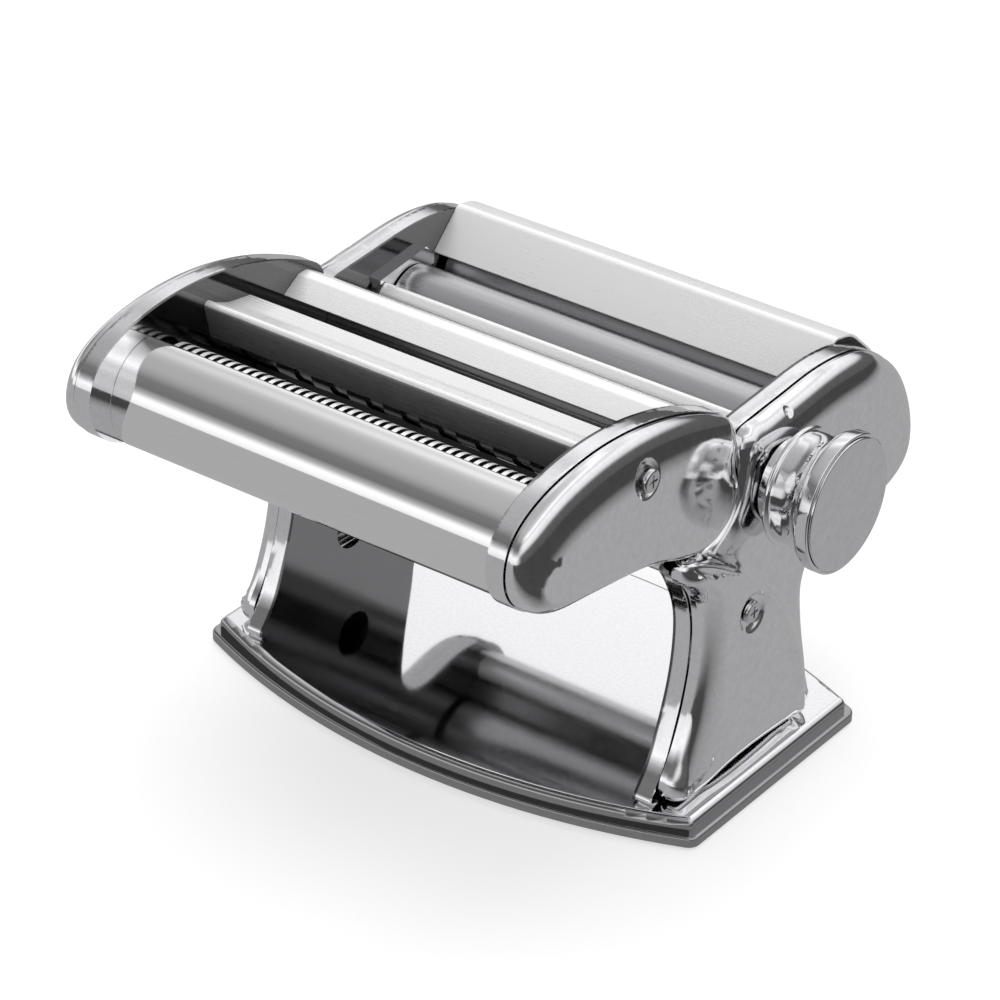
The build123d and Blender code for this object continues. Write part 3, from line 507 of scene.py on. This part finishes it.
def pressed_cover(node, side, top_width, low_width, relief, holes):
    """A stamped shell: an upright rim, then a rounding that is wide at the top and narrow below."""
    edge = Line(periodic_smooth(outer_loop(node), RIM_POINTS * FINER), True)
    outline, inward = edge.points[::FINER], edge.left[::FINER]
    depth = COVER_OUT - COVER_IN
    upward = smoothstep((around_average(-edge.left[:, 1], 16 * FINER) + 0.8) / 1.5)
    width = (low_width + (top_width - low_width) * upward) * MM

    def rise(spots):
        gap, at = edge.distance(spots)
        t = np.clip(gap / width[at], 0, 1)
        crown = (1 - (1 - t) ** ROUNDING) ** (1 / ROUNDING)
        return depth * (WALL + (1 - WALL) * crown) + relief["height"](spots)

    def within(spots, least):
        gap, _ = edge.distance(spots)
        inside = np.array([winding(p, outline) for p in spots])
        return spots[inside & (gap > least)]

    cloud = [outline]
    for d in RINGS:
        line = outline + inward * d * MM
        gap, _ = edge.distance(line)
        cloud.append(line[gap > 0.97 * d * MM][::1 if d < 5 else 2])
    low, high = outline.min(0), outline.max(0)
    grid = np.stack(np.meshgrid(np.arange(low[0], high[0], 0.002), np.arange(low[1], high[1], 0.002)),
                    -1).reshape(-1, 2)
    cloud += [within(grid, 13.2 * MM), within(relief["points"](), 0.5 * MM)]
    points = np.vstack(cloud)
    n = len(outline)
    edges = [(i, (i + 1) % n) for i in range(n)]
    far = np.ones(len(points), bool)
    for centre, radius in holes:
        far &= np.hypot(*(points - np.array(centre)).T) > radius * 1.08
    points = points[far]
    rings = [list(range(n))]
    for centre, radius in holes:
        t = np.linspace(0, 2 * math.pi, 48, endpoint=False)
        ring = np.stack([centre[0] + radius * np.cos(t), centre[1] + radius * np.sin(t)], 1)
        rings.append([len(points) + i for i in range(48)])
        edges += [(len(points) + i, len(points) + (i + 1) % 48) for i in range(48)]
        points = np.vstack([points, ring])
    verts, _, tris, origin, _, _ = delaunay_2d_cdt([Vector(p) for p in points], edges, [], 0, 1e-7)
    verts = np.array([tuple(v) for v in verts])
    place = {first: i for i, sources in enumerate(origin) for first in sources}
    rings = [[place[i] for i in ring] for ring in rings]
    kept = []
    for tri in tris:
        middle = verts[list(tri)].mean(0)
        if winding(middle, outline) and all(math.dist(middle, c) > radius * 0.99 for c, radius in holes):
            kept.append(tuple(tri))

    probe = verts.copy()
    probe[rings[0]] += inward * 0.12 * MM
    nudge = 0.05 * MM
    lean = np.stack([(rise(probe + step) - rise(probe - step)) / (2 * nudge)
                     for step in (np.array((nudge, 0)), np.array((0, nudge)))], 1)
    normal = np.column_stack([np.full(len(verts), float(side)), -lean])
    normal /= np.linalg.norm(normal, axis=1)[:, None]
    outer = np.column_stack([side * (COVER_IN + rise(verts)), verts])
    painted_shade_factor = outer - normal * COVER_SHEET * MM
    painted_shade_factor[rings[0], 1:] = outline + inward * COVER_SHEET * MM
    foot = np.column_stack([np.full(n, side * COVER_IN), outline])
    inner_foot = np.column_stack([np.full(n, side * COVER_IN), painted_shade_factor[rings[0], 1:]])

    count = len(verts)
    top = kept if orientation(verts, kept[0]) * side > 0 else [tri[::-1] for tri in kept]
    faces = list(top) + [tuple(i + count for i in tri[::-1]) for tri in top]
    facing = [normal[list(tri)] for tri in top] + [-normal[list(tri)[::-1]] for tri in top]

    def band(first, second, direction):
        """Quads between two closed rings of vertices, with their own shading directions."""
        m = len(first)
        for i in range(m):
            k = (i + 1) % m
            faces.append((first[i], first[k], second[k], second[i])[::side])
            facing.append(np.array([direction[i], direction[k], direction[k], direction[i]])[::side])

    feet, inner_feet = list(range(2 * count, 2 * count + n)), list(range(2 * count + n, 2 * count + 2 * n))
    outwards = np.column_stack([np.zeros(n), -inward])
    down = np.tile([-float(side), 0, 0], (n, 1))
    band(feet, rings[0], outwards)
    band(inner_feet, feet, down)
    band([i + count for i in rings[0]], inner_feet, -outwards)
    for ring, (centre, radius) in zip(rings[1:], holes):
        towards = np.array(centre) - verts[ring]
        towards = np.column_stack([np.zeros(len(ring)), towards / np.linalg.norm(towards, axis=1)[:, None]])
        band(ring, [i + count for i in ring], towards)
    thing = add_mesh(node + "_pressed", np.vstack([outer, painted_shade_factor, foot, inner_foot]),
                     [tuple(int(i) for i in face) for face in faces], COVER_CHROME)
    thing.data.normals_split_custom_set([tuple(v) for corner in facing for v in corner])
    return stands_for(thing, node)


def orientation(points, tri):
    (ay, az), (by, bz), (cy, cz) = points[list(tri)]
    return (by - ay) * (cz - az) - (bz - az) * (cy - ay)


def winding(p, outline):
    y, z = p
    a, b = outline, np.roll(outline, -1, 0)
    cross = (a[:, 1] > z) != (b[:, 1] > z)
    fall = np.where(b[:, 1] == a[:, 1], 1e-12, b[:, 1] - a[:, 1])
    at = a[:, 0] + (z - a[:, 1]) / fall * (b[:, 0] - a[:, 0])
    return bool((cross & (y < at)).sum() % 2)


ARC = np.array([(-46.0, 98.4), (-40.0, 96.6), (-27.0, 90.6), (-13.1, 80.8), (-2.0, 70.6), (7.5, 58.9),
                (14.4, 47.5), (19.3, 36.5), (22.6, 24.0), (24.0, 8.0)]) * MM
LEG_SCREW = np.array((-7.6, 64.6)) * MM
DIMPLE = np.array((13.4, 123.1)) * MM
CUTTER_SCREW = np.array((-64.0, 136.6)) * MM


def arc_line(count):
    at = np.concatenate([[0], np.cumsum(np.linalg.norm(np.diff(ARC, axis=0), axis=1))])
    even = np.linspace(0, at[-1], 240)
    line = np.stack([np.interp(even, at, ARC[:, k]) for k in (0, 1)], 1)
    for _ in range(60):
        line[1:-1] = line[1:-1] * 0.5 + (line[:-2] + line[2:]) * 0.25
    fine = np.linspace(0, 239, count)
    return np.stack([np.interp(fine, np.arange(240), line[:, k]) for k in (0, 1)], 1)


ARC_LINE = Line(arc_line(1500), False)


def leg_points():
    rows = [ARC_LINE.points[::10] + ARC_LINE.left[::10] * d * MM
            for d in (-4.4, -3.2, -2.4, -1.8, -1.3, -0.9, -0.5, -0.1, 0.3, 0.7, 1.2, 1.8, 2.5, 3.4)]
    return np.vstack(rows + [around(LEG_SCREW, 9.5), around(DIMPLE, 3.2)])


def around(centre, reach):
    rings = [np.array([centre])]
    steps = 9
    for i in range(1, steps + 1):
        t = np.linspace(0, 2 * math.pi, 10 + 5 * i, endpoint=False) + 0.1 * i
        r = reach * MM * i / steps
        rings.append(np.stack([centre[0] + r * np.cos(t), centre[1] + r * np.sin(t)], 1))
    return np.vstack(rings)


def bowl(points, centre, radius, soft, amount):
    """A dent of one depth inside a radius, easing out over the soft width."""
    far = np.hypot(*(points - centre).T) / MM
    return -amount * MM * (1 - smoothstep((far - radius) / soft))


def leg_height(verts):
    s = -ARC_LINE.distance(verts)[0] / MM
    step = 1.2 * smoothstep((s + 1.5) / 3.0)
    bead = 1.5 * np.exp(-(s / 2.0) ** 2)
    height = (step + bead) * MM
    return height + bowl(verts, LEG_SCREW, 4.4, 3.4, 1.6) + bowl(verts, DIMPLE, 0.5, 1.6, 0.7)


def cutter_points():
    return around(CUTTER_SCREW, 8.5)


def cutter_height(verts):
    return bowl(verts, CUTTER_SCREW, 4.0, 2.4, 1.2)


LEG_RELIEF = {"points": leg_points, "height": leg_height}
CUTTER_RELIEF = {"points": cutter_points, "height": cutter_height}
for name, side in (("left", -1), ("right", 1)):
    crank = [(REAR_ROLLER, 0.0072)] if side < 0 else []
    pressed_cover(f"side_cover_{name}", side, 17.0, 6.0, LEG_RELIEF, crank)
    cranks = [(NARROW_FRONT, 0.0056), (WIDE_FRONT, 0.0056)] if side < 0 else []
    pressed_cover(f"cutter_cover_{name}", side, 19.0, 5.5, CUTTER_RELIEF, cranks)


# ---- folded sheets ------------------------------------------------------------------------------
def circle_path(centre, radius, start, end, steps):
    return [(centre[0] + radius * math.cos(math.radians(start + (end - start) * i / steps)),
             centre[1] + radius * math.sin(math.radians(start + (end - start) * i / steps)))
            for i in range(steps + 1)]


NOSE_CENTRE, NOSE_R = (-94.2, 123.6), 18.0
NOSE_LIP = [(-93.4, 141.3), (-93.0, 140.6), (-92.9, 138.8)]
bent_sheet("nose_sheet", circle_path(NOSE_CENTRE, NOSE_R, 255, 90, 96) + NOSE_LIP,
           0.8, WEB_IN, NOSE_STEEL, "nose_cover")
bent_sheet("middle_shield", rounded_path([(-47.6, 135.2), (-57.6, 136.8), (-64.9, 139.7), (-69.0, 143.0),
                                          (-67.4, 137.0), (-65.6, 129.6)], (14, 12, 0.9, 8)),
           0.8, WEB_IN, MIDDLE_STEEL, "middle_sheet")
bent_sheet("rear_shield", rounded_path([(-31.8, 129.2), (-24.6, 133.6), (-20.6, 133.7), (-14.6, 130.2),
                                        (-13.2, 122.6)][::-1], (2.0, 2.5, 2.5)),
           -0.8, WEB_IN, SHEET_STEEL, "rear_sheet")
bent_sheet("hopper_sheet", rounded_path([(44.0, 113.2), (56.6, 125.4), (66.0, 123.4), (78.0, 112.4),
                                         (85.6, 98.0), (85.6, 86.0), (80.0, 76.6), (71.6, 72.6)],
                                        (3.0, 14, 16, 16, 14, 8)),
           0.9, WEB_IN, SHEET_STEEL, "hopper_plate")
bent_sheet("guard_strip",
           rounded_path([(11.8, 106.0), (12.4, 112.2), (15.4, 114.8), (20.6, 111.4)], (2.5, 1.6)),
           0.9, WEB_IN - 2.4 * MM, SHEET_STEEL, "front_guard")


# ---- gap knob -----------------------------------------------------------------------------------
KNOB_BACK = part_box("knob_body")[0].x / MM
KNOB_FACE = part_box("knob_cap")[1].x / MM - 1.2
NECK_R, RIM_R, LIP_R = 17.7, 22.2, 19.0
NECK_LONG = 13.6
DIGIT_HIGH = 2.6
FIRST_DIGIT, DIGIT_STEP, DIGIT_AT = 80.0, 19.0, 9.9


def neck_radius(x):
    """Radius of the waisted neck at a distance from the knob's back."""
    t = (x - 2.6) / (NECK_LONG - 2.6)
    flare = np.clip((t - 0.3) / 0.7, 0, 1) ** 2 * (RIM_R - 0.6 - NECK_R)
    return NECK_R + flare


def knob_pieces():
    """The cup with its rolled lip, waisted neck and rim, and the flat disc let into its face."""
    lip = circle_path((1.4, LIP_R - 0.9), 0.9, 180, -20, 12)
    neck = [(x, float(neck_radius(x))) for x in np.linspace(2.6, NECK_LONG, 24)]
    rim_start, rim_end = NECK_LONG + 0.9, KNOB_FACE - KNOB_BACK - 0.7
    rim = circle_path((rim_start + 0.6, RIM_R - 0.6), 0.6, 150, 90, 6)
    rim += circle_path((rim_end - 0.5, RIM_R - 0.5), 0.5, 90, 0, 5)
    profile = [(0.4, 4.2), (0.4, LIP_R - 2.2)] + lip + neck + rim + [(rim_end, RIM_R - 0.9),
                                                                    (rim_end - 0.6, RIM_R - 1.0)]
    lathe("knob_cup", [(KNOB_BACK + x, r) for x, r in profile], KNOB, CHROME, "knob_body", 160)
    edge = circle_path((KNOB_FACE - 0.45, RIM_R - 1.65), 0.45, 90, 0, 6)
    face = [(KNOB_FACE - 2.0, RIM_R - 1.2)] + edge + [(KNOB_FACE + 0.12, r) for r in (17.0, 12.0, 6.0, 0.01)]
    lathe("knob_disc", face, KNOB, KNOB_CHROME, "knob_cap", 160)


def knob_digits():
    """Seven gap settings in dark paint, wrapped round the neck."""
    for count in range(7):
        text = bpy.data.curves.new("digit", "FONT")
        text.body, text.align_x, text.align_y = str(count + 1), "CENTER", "CENTER"
        text.size, text.resolution_u = DIGIT_HIGH * 1.4, 3
        holder = bpy.data.objects.new("digit", text)
        flat = bpy.data.meshes.new_from_object(holder)
        build = bmesh.new()
        build.from_mesh(flat)
        bmesh.ops.subdivide_edges(build, edges=build.edges, cuts=1)
        bmesh.ops.triangulate(build, faces=build.faces)
        turn = FIRST_DIGIT + DIGIT_STEP * count
        for vert in build.verts:
            along = DIGIT_AT + vert.co.x
            radius = float(neck_radius(along)) + 0.05
            angle = math.radians(turn) - vert.co.y / NECK_R
            vert.co = Vector(((KNOB_BACK + along) * MM, KNOB[0] + radius * MM * math.cos(angle),
                              KNOB[1] + radius * MM * math.sin(angle)))
        mesh = bpy.data.meshes.new(f"setting_{count + 1}")
        build.to_mesh(mesh)
        build.free()
        mesh.materials.append(INK)
        digit = bpy.data.objects.new(f"setting_{count + 1}", mesh)
        bpy.context.scene.collection.objects.link(digit)
        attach(digit, frame["nodes"]["knob_body"]["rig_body"])
        bpy.data.objects.remove(holder)


knob_pieces()
knob_digits()


# ---- eased edges of the bright strips -----------------------------------------------------------
def ease_edges(node, width):
    thing = frame["nodes"][node]
    weld = thing.modifiers.new("weld", "WELD")
    weld.merge_threshold = 0.00001
    bevel = thing.modifiers.new("ease", "BEVEL")
    bevel.width, bevel.segments = width * MM, 2
    bevel.limit_method, bevel.angle_limit = "ANGLE", math.radians(40)


for node in ("side_frame_left", "side_frame_right", "cutter_frame_left", "cutter_frame_right"):
    ease_edges(node, 0.3)


# ---- floor, light and camera --------------------------------------------------------------------
def studio_world():
    world = bpy.data.worlds.new("studio")
    bpy.context.scene.world = world
    world.use_nodes = True
    nodes, links = world.node_tree.nodes, world.node_tree.links
    background = nodes["Background"]
    place = nodes.new("ShaderNodeTexCoord")
    split = nodes.new("ShaderNodeSeparateXYZ")
    links.new(place.outputs["Generated"], split.inputs["Vector"])

    def ramp(stops):
        shade = nodes.new("ShaderNodeValToRGB")
        line = shade.color_ramp
        while len(line.elements) < len(stops):
            line.elements.new(0.5)
        for element, (height, level) in zip(line.elements, stops):
            element.position = (height + 1) / 2
            element.color = (level, level, level * 1.01, 1)
        scale = nodes.new("ShaderNodeMapRange")
        scale.inputs["From Min"].default_value = -1
        links.new(split.outputs["Z"], scale.inputs["Value"])
        links.new(scale.outputs["Result"], shade.inputs["Fac"])
        return shade.outputs["Color"]

    front = ramp([(-1, 0.40), (-0.25, 0.42), (-0.19, 0.33), (-0.08, 0.85), (0.20, 1.15), (0.33, 0.48),
                  (0.46, 0.17), (0.64, 0.20), (0.78, 0.42), (1.0, 0.55)])
    rear = ramp([(-1, 0.38), (-0.2, 0.40), (-0.02, 0.10), (0.20, 0.12), (0.32, 0.85), (0.52, 1.10),
                 (0.64, 0.85), (0.75, 1.30), (0.85, 0.75), (1.0, 0.50)])
    turn = nodes.new("ShaderNodeMath")
    turn.operation = "ADD"
    links.new(split.outputs["Y"], turn.inputs[0])
    links.new(split.outputs["X"], turn.inputs[1])
    share = nodes.new("ShaderNodeMapRange")
    share.interpolation_type = "SMOOTHSTEP"
    share.inputs["From Min"].default_value = -0.6
    share.inputs["From Max"].default_value = 0.3
    links.new(turn.outputs["Value"], share.inputs["Value"])
    blend = nodes.new("ShaderNodeMix")
    blend.data_type = "RGBA"
    links.new(share.outputs["Result"], blend.inputs["Factor"])
    links.new(front, blend.inputs["A"])
    links.new(rear, blend.inputs["B"])
    links.new(blend.outputs["Result"], background.inputs["Color"])
    background.inputs["Strength"].default_value = 1.0


def studio_floor():
    floor = add_mesh("floor", [(-6, -6, 0), (6, -6, 0), (6, 6, 0), (-6, 6, 0)], [(0, 1, 2, 3)], None, False)
    material, nodes, links, shader = node_material("floor_paper_and_painted_reflection")
    floor.data.materials.clear()
    floor.data.materials.append(material)
    shader.inputs["Base Color"].default_value = (0.42, 0.42, 0.42, 1)
    shader.inputs["Roughness"].default_value = 0.9
    shader.inputs["Specular IOR Level"].default_value = 0.0
    shader.inputs["Emission Color"].default_value = (1, 1, 1, 1)
    shader.inputs["Emission Strength"].default_value = 0.62
    # painted reflection: glossy rays see the floor as a grey glow, fading to 0.06 at the right and
    # right-front, to paint dark reflections into the chrome
    painted_reflection = nodes.new("ShaderNodeEmission")
    place = nodes.new("ShaderNodeTexCoord")
    split = nodes.new("ShaderNodeSeparateXYZ")
    links.new(place.outputs["Object"], split.inputs["Vector"])
    right = spread(nodes, links, split.outputs["X"], 0, 1, 0.08, 0.22)
    front = spread(nodes, links, split.outputs["Y"], 1, 0, -0.10, 0.02)
    corner = nodes.new("ShaderNodeMath")
    corner.operation = "MULTIPLY"
    links.new(right, corner.inputs[0])
    links.new(front, corner.inputs[1])
    shade = nodes.new("ShaderNodeMix")
    shade.data_type = "RGBA"
    shade.inputs["A"].default_value = (0.41, 0.41, 0.415, 1)
    shade.inputs["B"].default_value = (0.06, 0.06, 0.06, 1)
    either = nodes.new("ShaderNodeMath")
    either.operation = "MAXIMUM"
    links.new(corner.outputs["Value"], either.inputs[0])
    links.new(spread(nodes, links, split.outputs["X"], 0, 1, 0.27, 0.42), either.inputs[1])
    links.new(either.outputs["Value"], shade.inputs["Factor"])
    links.new(shade.outputs["Result"], painted_reflection.inputs["Color"])
    # glossy rays get the painted reflection; all other rays get the evenly bright floor
    path = nodes.new("ShaderNodeLightPath")
    mix = nodes.new("ShaderNodeMixShader")
    links.new(path.outputs["Is Glossy Ray"], mix.inputs["Fac"])
    links.new(shader.outputs["BSDF"], mix.inputs[1])
    links.new(painted_reflection.outputs["Emission"], mix.inputs[2])
    links.new(mix.outputs["Shader"], nodes["Material Output"].inputs["Surface"])


def soft_sun(name, place, spread_angle, strength):
    light = bpy.data.lights.new(name, "SUN")
    light.angle, light.energy = math.radians(spread_angle), strength
    lamp = bpy.data.objects.new(name, light)
    bpy.context.scene.collection.objects.link(lamp)
    lamp.location = place
    lamp.rotation_mode = "QUATERNION"
    lamp.rotation_quaternion = (-lamp.location).to_track_quat("-Z", "Y")
    lamp.visible_glossy = False


def studio_camera(turn, height, focal, away, roll, right, up):
    a, e, r = math.radians(turn), math.radians(height), math.radians(roll)
    back = Vector((math.sin(a) * math.cos(e), -math.cos(a) * math.cos(e), math.sin(e)))
    level = Vector((math.cos(a), math.sin(a), 0))
    over = back.cross(level)
    across = math.cos(r) * level + math.sin(r) * over
    upward = -math.sin(r) * level + math.cos(r) * over
    data = bpy.data.cameras.new("camera")
    data.sensor_width, data.lens = 36, focal / 1000 * 36
    data.clip_start, data.clip_end = 0.05, 50
    camera = bpy.data.objects.new("camera", data)
    bpy.context.scene.collection.objects.link(camera)
    camera.location = (back * away + across * right + upward * up) * MM
    camera.rotation_mode = "QUATERNION"
    camera.rotation_quaternion = Matrix((across, upward, back)).transposed().to_quaternion()
    bpy.context.scene.camera = camera


studio_world()
studio_floor()
soft_sun("overhead", (-0.3, 0.2, 1.6), 55, 2.0)
studio_camera(36.61, 30.947, 4200, 1347.4, 0.797, -9.009, 57.803)
bpy.context.scene.view_settings.view_transform = "Standard"
